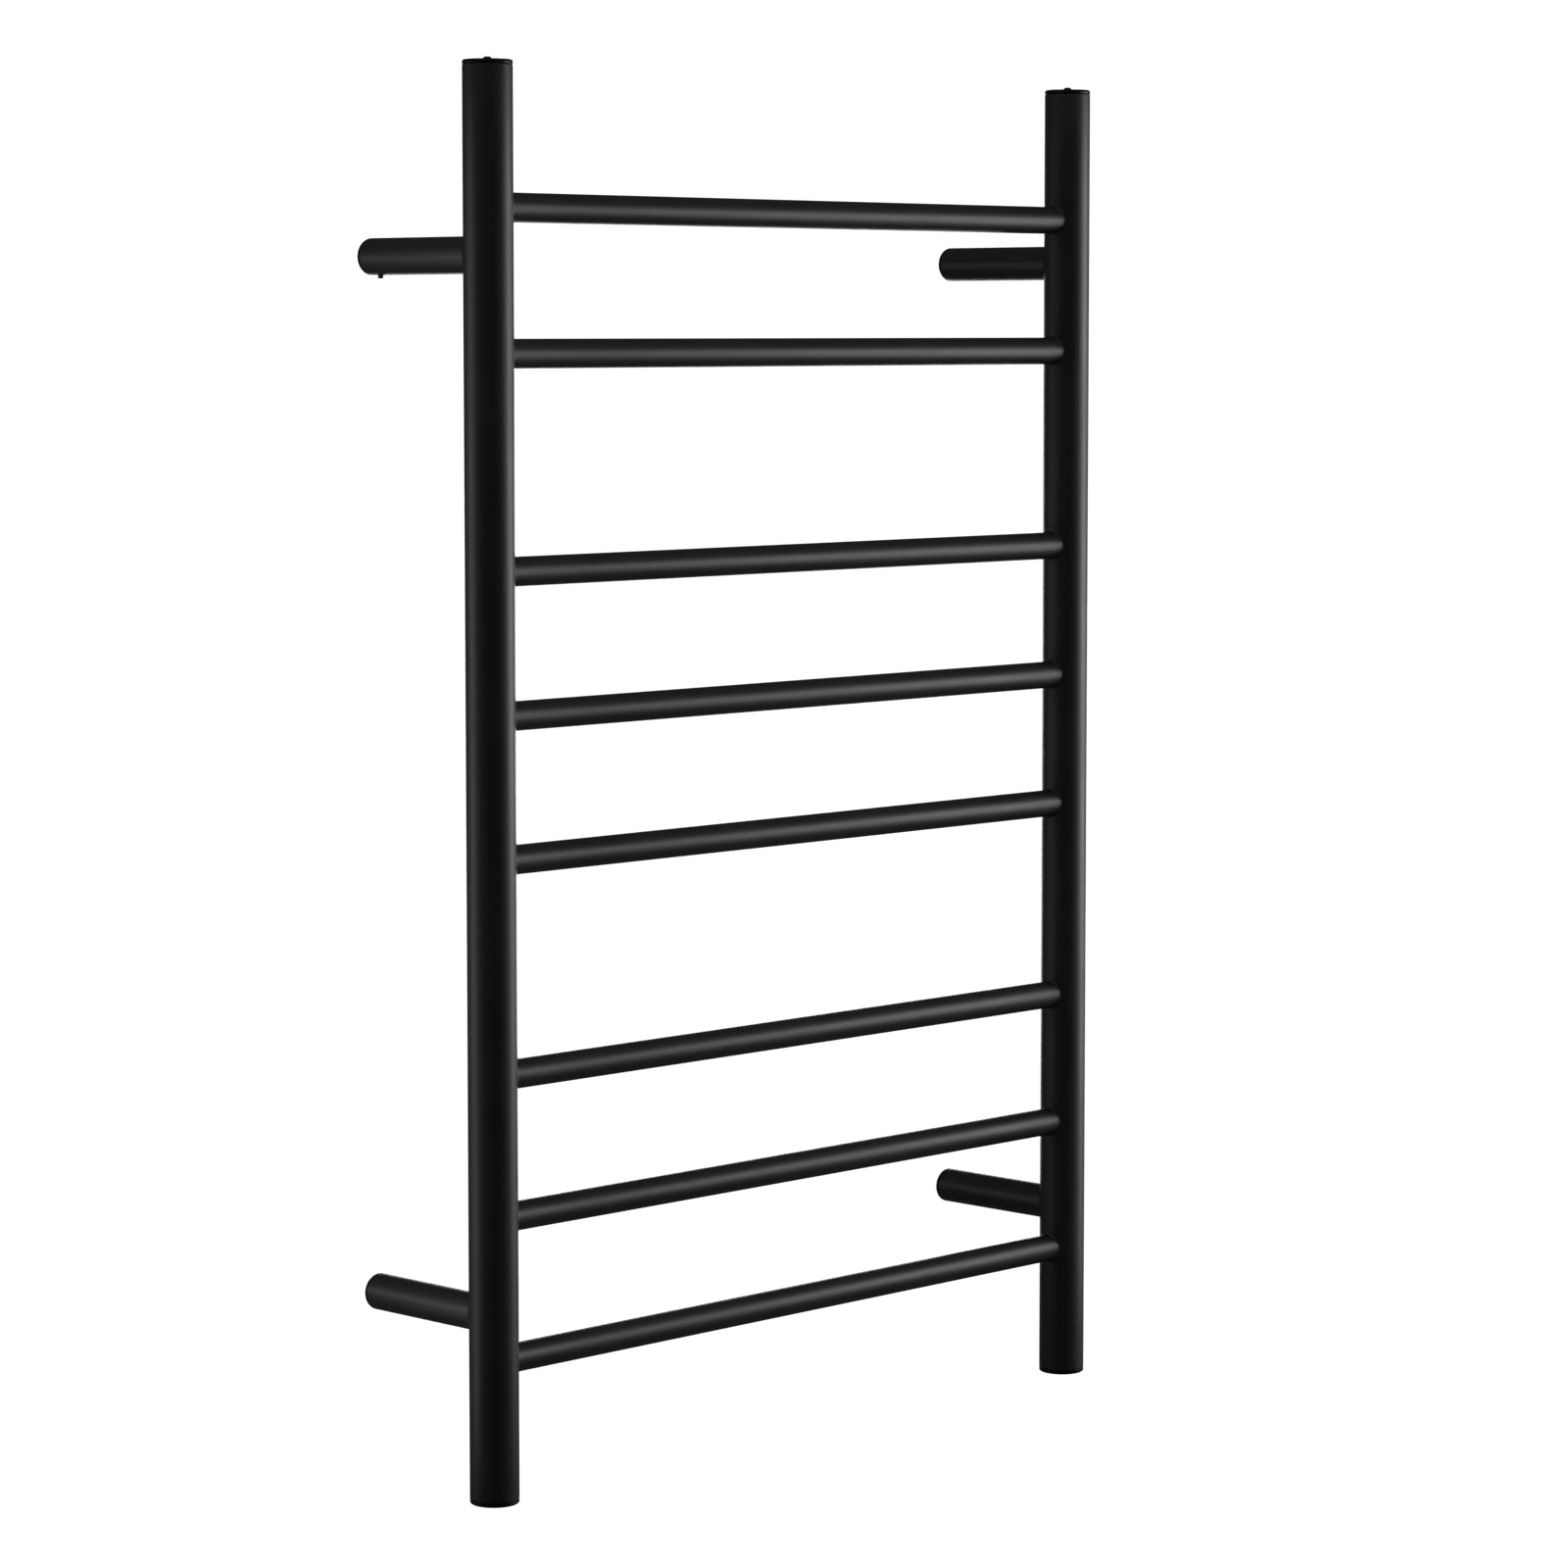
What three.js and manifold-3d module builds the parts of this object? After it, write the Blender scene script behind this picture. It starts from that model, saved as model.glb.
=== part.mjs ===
// A wall-hung towel warmer rack: a ladder welded from round steel tube, heated by a cable inside its bars.
//
// Units are millimetres and +Z is up. The origin lies on the wall, in the middle of the four standoffs.
// +X runs along the bars, to the right as seen from the room, and +Y points into the wall.

import * as THREE from "three";
import { mergeVertices } from "three/addons/utils/BufferGeometryUtils.js";
import Module from "manifold-3d";

const wasm = await Module();
wasm.setup();

// ---------------------------------------------------------------- driving dimensions

// The ladder. The bars stand in groups, listed from the bottom.
const RACK_HEIGHT = 920;
const POST_SPACING = 552;
const WALL_DISTANCE = 114; // from the wall to the axes of posts and bars
const BAR_PITCH = 92; // from bar to bar inside a group, and from the lower post end to the first bar
const GROUP_STEP = 138; // from the last bar of a group to the first bar of the next
const GROUPS = [3, 3, 2];

const POST_DIAMETER = 32;
const POST_WALL = 1.5;
const BAR_DIAMETER = 19;
const BAR_WALL = 1;
const BAR_END_INSET = 10.5; // from a post's axis to the end of a bar

// The standoffs that carry the ladder.
const STANDOFF_HEIGHT = RACK_HEIGHT / 2 - 122; // above and below the middle of the rack
const STANDOFF_DIAMETER = 24;
const STANDOFF_WALL = 1.5;
const PLUG_FLANGE = 3;
const PLUG_SPIGOT_DIAMETER = 20.4;
const PLUG_DEPTH = 22;
const GRUB_DISTANCE = 10.5; // from the wall to the grub screw
const GRUB_DIAMETER = 4;
const GRUB_LENGTH = 5;
const GRUB_PROUD = { upper_left: 2 }; // the others end flush with the tube
const WALL_SCREW_HOLE = 5.2;
const WALL_SCREW_SINK = 9.6;
const GRUB_SOCKET = 2; // across its flats, and just as deep
const GRUB_POINT = 1.2;
const GRUB_BEVEL = 0.4;

// The supply cable comes in through the lower left standoff, whose plug has two smaller wall screws.
const CABLE_BORE = 10.2;
const CABLE_HOLE = 13; // through the wall of the post
const SIDE_SCREW_HOLE = 3.4;
const SIDE_SCREW_OFFSET = 7.65;
const GROMMET = { bore: 7, lipDiameter: 11.4, lip: 1.4, recess: 0.5 };

// The ends of the posts.
const CAP_FLANGE = 3;
const CAP_SPIGOT_DIAMETER = 28.2;
const CAP_SPIGOT_BORE = 20;
const CAP_SPIGOT_LENGTH = 9;
const CAP_SCREW_DIAMETER = 3;
const CAP_SCREW_HEAD = { diameter: 6.4, height: 2.2, socket: 2, socketDepth: 1.4 };
const CAP_SCREW_TAIL = 1; // past the bridge
const BRIDGE_DEPTH = 14; // from the outer face of a cap to the bridge that its screw pulls on
const BRIDGE = { length: 27.6, width: 8, thickness: 3, corner: 2.5 };

// The heating cable, which goes through the bars from side to side and climbs inside the posts.
const CABLE_DIAMETER = 3;
const CABLE_BEND = 8;
const CABLE_DROP = 6.4; // below a bar's axis, because the cable lies on the floor of the bar
const CABLE_OFFSET = 1; // from a post's axis to the cable that climbs in it
const CABLE_END_RISE = 16; // from the axis of the last bar to the end of the cable
const END_SEAL = { wall: 1.2, sleeve: 8, cap: 6 };

// The electrics, in the lower end of the left post.
const TERMINAL = { length: 24, width: 12, height: 24, pitch: 8, corner: 1.5, wireHole: 2.6, screwHole: 3.8 };
const TERMINAL_DROP = 35; // from the axis of the first bar to the top of the terminal block
const TERMINAL_SCREW = { diameter: 3.2, recess: 1.5, foot: 1.6, slot: 0.6, slotDepth: 0.8 };
const LEAD_DIAMETER = 1.8;
const LEAD_BEND = 2.5;
const LEAD_GRIP = 6; // the end of a lead inside the terminal block
const EARTH_OFFSET = 9; // from the cap screw to the earth screw, on the bridge
const EARTH_SCREW = { diameter: 3, head: 5.5, headHeight: 1.8, length: 6, slot: 0.8, slotSpan: 3.4 };
const EARTH_LUG = { diameter: 6.6, thickness: 0.8, barrel: 3.2, barrelHeight: 5.5, reach: 5 };
const JOINT = { width: 10, depth: 7, height: 16, corner: 3, rise: 4, shift: 0.5 };
const LIMITER = { width: 6.4, depth: 5.4, height: 14, corner: 1 };
const LIMITER_LEAD_X = 2.9; // from the joint's cable to the limiter's lead
const LIMITER_LEAD_RISE = 4;

const EDGE_ROUND = 2; // on the outer edges of the caps and the wall plugs
const GAP = 0.3; // clearance between neighbouring pieces
const OVERSHOOT = 1; // of a cutting tool past the face that it cuts

const POST_SIDES = 32;
const TUBE_SIDES = 24; // bars, standoffs and what sits in them
const SCREW_SIDES = 16;
const WIRE_SIDES = 10; // the holes and screws of the terminal block

// ---------------------------------------------------------------- values worked out from them

const POST_RADIUS = POST_DIAMETER / 2;
const BAR_RADIUS = BAR_DIAMETER / 2;
const STANDOFF_RADIUS = STANDOFF_DIAMETER / 2;
const RACK_END = RACK_HEIGHT / 2;
const POST_X = POST_SPACING / 2;
const POST_BORE = POST_RADIUS - POST_WALL;
const CABLE_RUN_X = POST_X - CABLE_OFFSET;
const BRIDGE_FACE = -RACK_END + BRIDGE_DEPTH + BRIDGE.thickness;
const EARTH_BARREL_Y = -EARTH_LUG.reach - EARTH_LUG.barrel / 2 + EARTH_LUG.thickness;
const SIDES = { left: -1, right: 1 };
const LEVELS = { upper: 1, lower: -1 };

function barHeights() {
  const heights = [];
  let z = BAR_PITCH - RACK_END;
  for (const count of GROUPS) {
    for (let i = 0; i < count; i++) heights.push(z + i * BAR_PITCH);
    z += (count - 1) * BAR_PITCH + GROUP_STEP;
  }
  return heights;
}

const BARS = barHeights();
const TERMINAL_TOP = BARS[0] - TERMINAL_DROP;
const TERMINAL_FOOT = TERMINAL_TOP - TERMINAL.height;
const TERMINAL_MIDDLE = (TERMINAL_TOP + TERMINAL_FOOT) / 2;
const JOINT_FOOT = TERMINAL_TOP + JOINT.rise;
const JOINT_TOP = JOINT_FOOT + JOINT.height;
const CABLE_END = BARS[BARS.length - 1] + CABLE_END_RISE;

// ---------------------------------------------------------------- materials

function material(color, roughness, metalness) {
  return new THREE.MeshStandardMaterial({ color, roughness, metalness });
}

const MATERIALS = {
  blackCoat: material(0x161617, 0.5, 0.0),
  blackSteel: material(0x1b1b1c, 0.45, 0.6),
  plainSteel: material(0x9b9da0, 0.4, 1.0),
  brass: material(0xb8923f, 0.35, 1.0),
  rubber: material(0x202020, 0.85, 0.0),
  silicone: material(0x8c2f22, 0.6, 0.0),
  nylon: material(0xd9d4c8, 0.55, 0.0),
  liveSheath: material(0x5a3420, 0.5, 0.0),
  neutralSheath: material(0x2a4d8a, 0.5, 0.0),
  earthSheath: material(0x5f8a2e, 0.5, 0.0),
};

// ---------------------------------------------------------------- shape tools

function solidOf(geometry) {
  const bare = geometry.clone();
  bare.deleteAttribute("normal");
  bare.deleteAttribute("uv");
  const merged = mergeVertices(bare, 1e-4);
  const vertProperties = new Float32Array(merged.attributes.position.array);
  const triVerts = new Uint32Array(merged.index.array);
  return new wasm.Manifold(new wasm.Mesh({ numProp: 3, vertProperties, triVerts }));
}

function geometryOf(solid) {
  const mesh = solid.getMesh();
  const geometry = new THREE.BufferGeometry();
  geometry.setAttribute("position", new THREE.BufferAttribute(mesh.vertProperties, 3));
  geometry.setIndex(new THREE.BufferAttribute(mesh.triVerts, 1));
  geometry.computeVertexNormals();
  return geometry;
}

function cut(geometry, ...tools) {
  return geometryOf(tools.reduce((solid, tool) => solid.subtract(solidOf(tool)), solidOf(geometry)));
}

function join(geometry, ...others) {
  return geometryOf(others.reduce((solid, other) => solid.add(solidOf(other)), solidOf(geometry)));
}

// A body turned about Z. The profile is a closed loop of [radius, height], counter-clockwise with the radius
// to the right.
function turned(profile, sides) {
  const points = profile.map(([radius, height]) => new THREE.Vector2(radius, height));
  const first = profile[0];
  const last = profile[profile.length - 1];
  if (first[0] > 0 || last[0] > 0) points.push(points[0].clone());
  return new THREE.LatheGeometry(points, sides).rotateX(Math.PI / 2);
}

// Points of a quarter round from angle to angle + 90 degrees, as [radius, height].
function quarter(centreRadius, centreHeight, size, angle, steps = 3) {
  return Array.from({ length: steps + 1 }, (_, i) => {
    const turn = angle + (i / steps) * (Math.PI / 2);
    return [centreRadius + size * Math.cos(turn), centreHeight + size * Math.sin(turn)];
  });
}

// A rod or a tube along Z, from one height to another.
function rod(radius, from, to, sides) {
  return turned([[0, from], [radius, from], [radius, to], [0, to]], sides);
}

function tube(outer, inner, from, to, sides) {
  return turned([[inner, from], [outer, from], [outer, to], [inner, to]], sides);
}

function alongX(geometry) {
  return geometry.rotateY(Math.PI / 2);
}

function alongY(geometry) {
  return geometry.rotateX(-Math.PI / 2);
}

// A block with its vertical edges rounded, centred on X and Y.
function block(length, width, from, to, corner) {
  const shape = new THREE.Shape();
  const x = length / 2;
  const y = width / 2;
  shape.moveTo(-x + corner, -y);
  shape.lineTo(x - corner, -y);
  shape.absarc(x - corner, -y + corner, corner, -Math.PI / 2, 0);
  shape.lineTo(x, y - corner);
  shape.absarc(x - corner, y - corner, corner, 0, Math.PI / 2);
  shape.lineTo(-x + corner, y);
  shape.absarc(-x + corner, y - corner, corner, Math.PI / 2, Math.PI);
  shape.lineTo(-x, -y + corner);
  shape.absarc(-x + corner, -y + corner, corner, Math.PI, 1.5 * Math.PI);
  const settings = { depth: to - from, bevelEnabled: false, curveSegments: 3 };
  return new THREE.ExtrudeGeometry(shape, settings).translate(0, 0, from);
}

// A hexagonal prism, measured across its flats.
function hexagon(acrossFlats, from, to) {
  return rod(acrossFlats / Math.sqrt(3), from, to, 6);
}

// A path through given stations, one for each step of an extrusion, so that its straights need no steps.
class Stations extends THREE.Curve {
  constructor(points, tangents) {
    super();
    this.points = points;
    this.tangents = tangents;
  }

  at(list, u) {
    return list[Math.round(u * (list.length - 1))];
  }

  getPoint(u, target = new THREE.Vector3()) {
    return target.copy(this.at(this.points, u));
  }

  getPointAt(u, target) {
    return this.getPoint(u, target);
  }

  getTangentAt(u, target = new THREE.Vector3()) {
    return target.copy(this.at(this.tangents, u));
  }
}

// A round cable through corner points, with every inner corner rounded to the given bend.
function cable(corners, diameter, bend, steps = 4) {
  const points = [corners[0]];
  const tangents = [corners[1].clone().sub(corners[0]).normalize()];
  for (let i = 1; i < corners.length - 1; i++) {
    const before = corners[i].clone().sub(corners[i - 1]).normalize();
    const after = corners[i + 1].clone().sub(corners[i]).normalize();
    const turn = before.angleTo(after);
    const reach = bend * Math.tan(turn / 2);
    const inward = after.clone().sub(before).normalize();
    const centre = corners[i].clone().addScaledVector(inward, bend / Math.cos(turn / 2));
    const axis = before.clone().cross(after).normalize();
    const start = corners[i].clone().addScaledVector(before, -reach).sub(centre);
    for (let k = 0; k <= steps; k++) {
      const angle = (turn * k) / steps;
      points.push(start.clone().applyAxisAngle(axis, angle).add(centre));
      tangents.push(before.clone().applyAxisAngle(axis, angle));
    }
  }
  points.push(corners[corners.length - 1]);
  tangents.push(corners[corners.length - 1].clone().sub(corners[corners.length - 2]).normalize());
  const section = new THREE.Shape();
  section.absarc(0, 0, diameter / 2, 0, 2 * Math.PI);
  return new THREE.ExtrudeGeometry(section, {
    extrudePath: new Stations(points, tangents),
    steps: points.length - 1,
    curveSegments: 4,
  });
}

function piece(name, geometry, surface) {
  const mesh = new THREE.Mesh(geometry, surface);
  mesh.name = name;
  return mesh;
}

function group(x, y, z, ...members) {
  const made = new THREE.Group();
  made.position.set(x, y, z);
  if (members.length) made.add(...members);
  return made;
}

// ---------------------------------------------------------------- the ladder

// A post in its own frame: its axis is Z, its bars come in from one side and its standoffs from +Y.
function post(side) {
  const end = RACK_END - CAP_FLANGE - GAP;
  const holes = BARS.map((z) =>
    alongX(rod(BAR_RADIUS + GAP, 0, POST_DIAMETER, TUBE_SIDES))
      .rotateZ(side > 0 ? Math.PI : 0)
      .translate(0, 0, z),
  );
  if (side < 0) {
    const inlet = alongY(rod(CABLE_HOLE / 2, 0, POST_DIAMETER, TUBE_SIDES));
    holes.push(inlet.translate(0, 0, -STANDOFF_HEIGHT));
  }
  return cut(tube(POST_RADIUS, POST_BORE, -end, end, POST_SIDES), ...holes);
}

function bar() {
  const half = POST_X - BAR_END_INSET;
  return alongX(tube(BAR_RADIUS, BAR_RADIUS - BAR_WALL, -half, half, TUBE_SIDES));
}

function ladder() {
  const made = group(0, -WALL_DISTANCE, 0);
  for (const [name, side] of Object.entries(SIDES)) {
    const upright = piece(`post_${name}`, post(side), MATERIALS.blackCoat);
    upright.position.x = side * POST_X;
    made.add(upright);
  }
  BARS.forEach((z, i) => {
    const rung = piece(`bar_${i + 1}`, bar(), MATERIALS.blackCoat);
    rung.position.z = z;
    made.add(rung);
  });
  return made;
}

// ---------------------------------------------------------------- the ends of the posts
// Each is made in a frame with Z along the post's axis, pointing out, and zero at the outer face of the cap.

function endCap() {
  const spigot = CAP_SPIGOT_DIAMETER / 2;
  const bore = CAP_SPIGOT_BORE / 2;
  const hole = CAP_SCREW_DIAMETER / 2 + GAP;
  const foot = -CAP_FLANGE - CAP_SPIGOT_LENGTH;
  const profile = [
    [hole, -CAP_FLANGE],
    [bore, -CAP_FLANGE],
    [bore, foot],
    [spigot, foot],
    [spigot, -CAP_FLANGE],
    [POST_RADIUS, -CAP_FLANGE],
    ...quarter(POST_RADIUS - EDGE_ROUND, -EDGE_ROUND, EDGE_ROUND, 0),
    [hole, 0],
  ];
  return turned(profile, POST_SIDES);
}

// A button head screw with a hexagon socket.
function capScrew() {
  const { diameter, height, socket, socketDepth } = CAP_SCREW_HEAD;
  const shank = CAP_SCREW_DIAMETER / 2;
  const top = GAP + height;
  const foot = -BRIDGE_DEPTH - BRIDGE.thickness - CAP_SCREW_TAIL;
  const dome = (diameter * diameter) / 8 / height + height / 2; // the radius of the head's ball
  const rim = Math.asin(diameter / 2 / dome);
  const steps = 4;
  const head = Array.from({ length: steps }, (_, i) => {
    const angle = rim * (1 - i / steps);
    return [dome * Math.sin(angle), top - dome + dome * Math.cos(angle)];
  });
  const profile = [[0, foot], [shank, foot], [shank, GAP], ...head, [0, top]];
  return cut(turned(profile, SCREW_SIDES), hexagon(socket, top - socketDepth, top + OVERSHOOT));
}

// The strap across the bore of a post that a cap screw pulls on. The one that earths the rack has a second
// hole.
function bridge(earthed) {
  const top = -BRIDGE_DEPTH;
  const bottom = top - BRIDGE.thickness;
  const strap = block(BRIDGE.length, BRIDGE.width, bottom, top, BRIDGE.corner);
  const hole = (screw) => rod(screw / 2 + GAP, bottom - OVERSHOOT, top + OVERSHOOT, SCREW_SIDES);
  const holes = [hole(CAP_SCREW_DIAMETER)];
  if (earthed) holes.push(hole(EARTH_SCREW.diameter).translate(EARTH_OFFSET, 0, 0));
  return cut(strap, ...holes);
}

function postEnd(level, side) {
  const place = `${level}_${side}`;
  const earthed = place === "lower_left";
  const made = group(
    SIDES[side] * POST_X,
    -WALL_DISTANCE,
    LEVELS[level] * RACK_END,
    piece(`end_cap_${place}`, endCap(), MATERIALS.blackCoat),
    piece(`cap_screw_${place}`, capScrew(), MATERIALS.blackSteel),
    piece(`cap_bridge_${place}`, bridge(earthed), MATERIALS.plainSteel),
  );
  if (level === "lower") made.rotation.x = Math.PI;
  return made;
}

// ---------------------------------------------------------------- the standoffs
// Each is made in a frame with +Y from the post's axis to the wall.

function standoffTube() {
  const end = WALL_DISTANCE - PLUG_FLANGE - GAP;
  const shell = alongY(tube(STANDOFF_RADIUS, STANDOFF_RADIUS - STANDOFF_WALL, 0, end, TUBE_SIDES));
  const saddle = rod(POST_RADIUS + GAP, -STANDOFF_DIAMETER, STANDOFF_DIAMETER, POST_SIDES);
  const grubHole = rod(GRUB_DIAMETER / 2 + GAP, -STANDOFF_DIAMETER, 0, SCREW_SIDES);
  return cut(shell, saddle, grubHole.translate(0, WALL_DISTANCE - GRUB_DISTANCE, 0));
}

// The plug that is screwed to the wall. Its profile is drawn with zero at the wall and the spigot towards
// minus. The groove takes the point of the grub screw.
function wallPlug(bore, sink) {
  const spigot = PLUG_SPIGOT_DIAMETER / 2;
  const groove = GRUB_DIAMETER / 2 + GAP;
  const grooveRadius = STANDOFF_RADIUS - GRUB_LENGTH - GAP;
  const mouth = sink > bore ? [[sink / 2, -PLUG_DEPTH]] : [];
  const throat = [bore / 2, -PLUG_DEPTH + (sink - bore) / 2];
  const profile = [
    ...mouth,
    [spigot, -PLUG_DEPTH],
    [spigot, -GRUB_DISTANCE - groove],
    [grooveRadius, -GRUB_DISTANCE - groove],
    [grooveRadius, -GRUB_DISTANCE + groove],
    [spigot, -GRUB_DISTANCE + groove],
    [spigot, -PLUG_FLANGE],
    [STANDOFF_RADIUS, -PLUG_FLANGE],
    ...quarter(STANDOFF_RADIUS - EDGE_ROUND, -EDGE_ROUND, EDGE_ROUND, 0),
    [bore / 2, 0],
    throat,
  ];
  return alongY(turned(profile, TUBE_SIDES)).translate(0, WALL_DISTANCE, 0);
}

// The plug that lets the supply cable in has a wide bore, and a wall screw on either side of it.
function cablePlug() {
  const from = WALL_DISTANCE - PLUG_DEPTH - OVERSHOOT;
  const to = WALL_DISTANCE + OVERSHOOT;
  const holes = [-SIDE_SCREW_OFFSET, SIDE_SCREW_OFFSET].map((x) =>
    alongY(rod(SIDE_SCREW_HOLE / 2, from, to, SCREW_SIDES)).translate(x, 0, 0),
  );
  return cut(wallPlug(CABLE_BORE, CABLE_BORE), ...holes);
}

function grommet() {
  const outer = CABLE_BORE / 2 - GAP;
  const inner = GROMMET.bore / 2;
  const lip = GROMMET.lipDiameter / 2;
  const seat = -PLUG_DEPTH - GAP;
  const profile = [
    [inner, seat - GROMMET.lip],
    [lip, seat - GROMMET.lip],
    [lip, seat],
    [outer, seat],
    [outer, -GROMMET.recess],
    [inner, -GROMMET.recess],
  ];
  return alongY(turned(profile, TUBE_SIDES)).translate(0, WALL_DISTANCE, 0);
}

// A grub screw with its hexagon socket down and its point up, in the groove of the plug.
function grubScrew(proud) {
  const radius = GRUB_DIAMETER / 2;
  const foot = -STANDOFF_RADIUS - proud;
  const tip = foot + GRUB_LENGTH;
  const profile = [
    [0, foot],
    [radius - GRUB_BEVEL, foot],
    [radius, foot + GRUB_BEVEL],
    [radius, tip - GRUB_POINT],
    [radius - GRUB_POINT, tip],
    [0, tip],
  ];
  const socket = hexagon(GRUB_SOCKET, foot - OVERSHOOT, foot + GRUB_SOCKET);
  return cut(turned(profile, SCREW_SIDES), socket).translate(0, WALL_DISTANCE - GRUB_DISTANCE, 0);
}

function standoff(level, side) {
  const place = `${level}_${side}`;
  const inlet = place === "lower_left";
  const plug = inlet ? cablePlug() : wallPlug(WALL_SCREW_HOLE, WALL_SCREW_SINK);
  const made = group(
    SIDES[side] * POST_X,
    -WALL_DISTANCE,
    LEVELS[level] * STANDOFF_HEIGHT,
    piece(`standoff_${place}`, standoffTube(), MATERIALS.blackCoat),
    piece(`wall_plug_${place}`, plug, MATERIALS.blackCoat),
    piece(`grub_screw_${place}`, grubScrew(GRUB_PROUD[place] ?? 0), MATERIALS.blackSteel),
  );
  if (inlet) made.add(piece("cable_grommet", grommet(), MATERIALS.rubber));
  return made;
}

// ---------------------------------------------------------------- the electrics
// They are made in a frame with Z along the axis of the left post and zero at the middle of the rack.

function vector(x, y, z) {
  return new THREE.Vector3(x, y, z);
}

// The three-pole terminal block. Each pole has a wire hole right through and a hole in front for its screw.
function terminalBlock() {
  const body = block(TERMINAL.length, TERMINAL.width, TERMINAL_FOOT, TERMINAL_TOP, TERMINAL.corner);
  const from = TERMINAL_FOOT - OVERSHOOT;
  const to = TERMINAL_TOP + OVERSHOOT;
  const holes = [-1, 0, 1].flatMap((pole) => {
    const x = pole * TERMINAL.pitch;
    const wires = rod(TERMINAL.wireHole / 2, from, to, WIRE_SIDES);
    const screw = alongY(rod(TERMINAL.screwHole / 2, -TERMINAL.width, 0, WIRE_SIDES));
    return [wires.translate(x, 0, 0), screw.translate(x, 0, TERMINAL_MIDDLE)];
  });
  return cut(body, ...holes);
}

function terminalScrew(pole) {
  const { diameter, recess, foot, slot, slotDepth } = TERMINAL_SCREW;
  const face = -TERMINAL.width / 2 + recess;
  const stem = rod(diameter / 2, face, -foot, WIRE_SIDES);
  const blade = new THREE.BoxGeometry(slot, 2 * diameter, 2 * slotDepth).translate(0, 0, face);
  return alongY(cut(stem, blade)).translate(pole * TERMINAL.pitch, 0, TERMINAL_MIDDLE);
}

function earthLug() {
  const seat = BRIDGE_FACE + GAP;
  const top = seat + EARTH_LUG.thickness;
  const ring = tube(EARTH_LUG.diameter / 2, EARTH_SCREW.diameter / 2 + GAP, seat, top, SCREW_SIDES);
  const inner = -EARTH_LUG.diameter / 2 + EARTH_LUG.thickness;
  const outer = EARTH_BARREL_Y + EARTH_LUG.barrel / 2 - EARTH_LUG.thickness / 2;
  const neck = new THREE.BoxGeometry(EARTH_LUG.barrel, inner - outer, EARTH_LUG.thickness);
  neck.translate(0, (inner + outer) / 2, (seat + top) / 2);
  const bore = LEAD_DIAMETER / 2 + GAP;
  const barrel = tube(EARTH_LUG.barrel / 2, bore, seat, seat + EARTH_LUG.barrelHeight, SCREW_SIDES);
  return join(ring, neck, barrel.translate(0, EARTH_BARREL_Y, 0));
}

function earthScrew() {
  const seat = BRIDGE_FACE + EARTH_LUG.thickness + 2 * GAP;
  const head = EARTH_SCREW.head / 2;
  const shank = EARTH_SCREW.diameter / 2;
  const top = seat + EARTH_SCREW.headHeight;
  const foot = seat - EARTH_SCREW.length;
  const bevel = 0.5;
  const profile = [
    [0, foot],
    [shank, foot],
    [shank, seat],
    [head, seat],
    [head, top - bevel],
    [head - bevel, top],
    [0, top],
  ];
  const { slot, slotSpan, headHeight } = EARTH_SCREW;
  const blades = [0, Math.PI / 2].map((turn) =>
    new THREE.BoxGeometry(slot, slotSpan, headHeight).rotateZ(turn).translate(0, 0, top),
  );
  return cut(turned(profile, SCREW_SIDES), ...blades);
}

// It leaves the barrel of the lug, leans inwards and goes straight up into the terminal block.
function earthLead() {
  const lugTop = BRIDGE_FACE + 3 * GAP + EARTH_LUG.thickness;
  const corners = [
    vector(EARTH_OFFSET, EARTH_BARREL_Y, lugTop),
    vector(EARTH_OFFSET, EARTH_BARREL_Y, TERMINAL_FOOT - 6.5),
    vector(TERMINAL.pitch, 0, TERMINAL_FOOT - 2.5),
    vector(TERMINAL.pitch, 0, TERMINAL_FOOT + LEAD_GRIP),
  ];
  return cable(corners, LEAD_DIAMETER, LEAD_BEND);
}

// The joint where the cold leads meet the heating cable, in a silicone sleeve.
function cableJoint() {
  const sleeve = block(JOINT.width, JOINT.depth, JOINT_FOOT, JOINT_TOP, JOINT.corner);
  return sleeve.translate(CABLE_OFFSET - JOINT.shift, 0, 0);
}

// The limiter stands above the live pole.
function thermalLimiter() {
  const body = block(LIMITER.width, LIMITER.depth, JOINT_FOOT, JOINT_FOOT + LIMITER.height, LIMITER.corner);
  return body.translate(-TERMINAL.pitch, 0, 0);
}

// A straight lead from a pole of the terminal block up to what stands above it.
function shortLead(pole) {
  const x = pole * TERMINAL.pitch;
  const ends = [vector(x, 0, TERMINAL_TOP - LEAD_GRIP), vector(x, 0, JOINT_FOOT - GAP)];
  return cable(ends, LEAD_DIAMETER, LEAD_BEND);
}

// The lead from the limiter, over and down into the top of the joint.
function limiterLead() {
  const limiterX = -TERMINAL.pitch;
  const jointX = CABLE_OFFSET - LIMITER_LEAD_X;
  const crest = JOINT_TOP + GAP + LIMITER_LEAD_RISE;
  const corners = [
    vector(limiterX, 0, JOINT_FOOT + LIMITER.height + GAP),
    vector(limiterX, 0, crest),
    vector(jointX, 0, crest),
    vector(jointX, 0, JOINT_TOP + GAP),
  ];
  return cable(corners, LEAD_DIAMETER, LEAD_BEND);
}

// The corners of the heating cable: it starts above the joint, crosses in each bar and climbs in the posts.
function heatingCable() {
  const corners = [vector(-CABLE_RUN_X, 0, JOINT_TOP + GAP)];
  let side = -1;
  for (const z of BARS) {
    corners.push(vector(side * CABLE_RUN_X, 0, z - CABLE_DROP));
    side = -side;
    corners.push(vector(side * CABLE_RUN_X, 0, z - CABLE_DROP));
  }
  corners.push(vector(side * CABLE_RUN_X, 0, CABLE_END));
  return cable(corners, CABLE_DIAMETER, CABLE_BEND);
}

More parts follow.
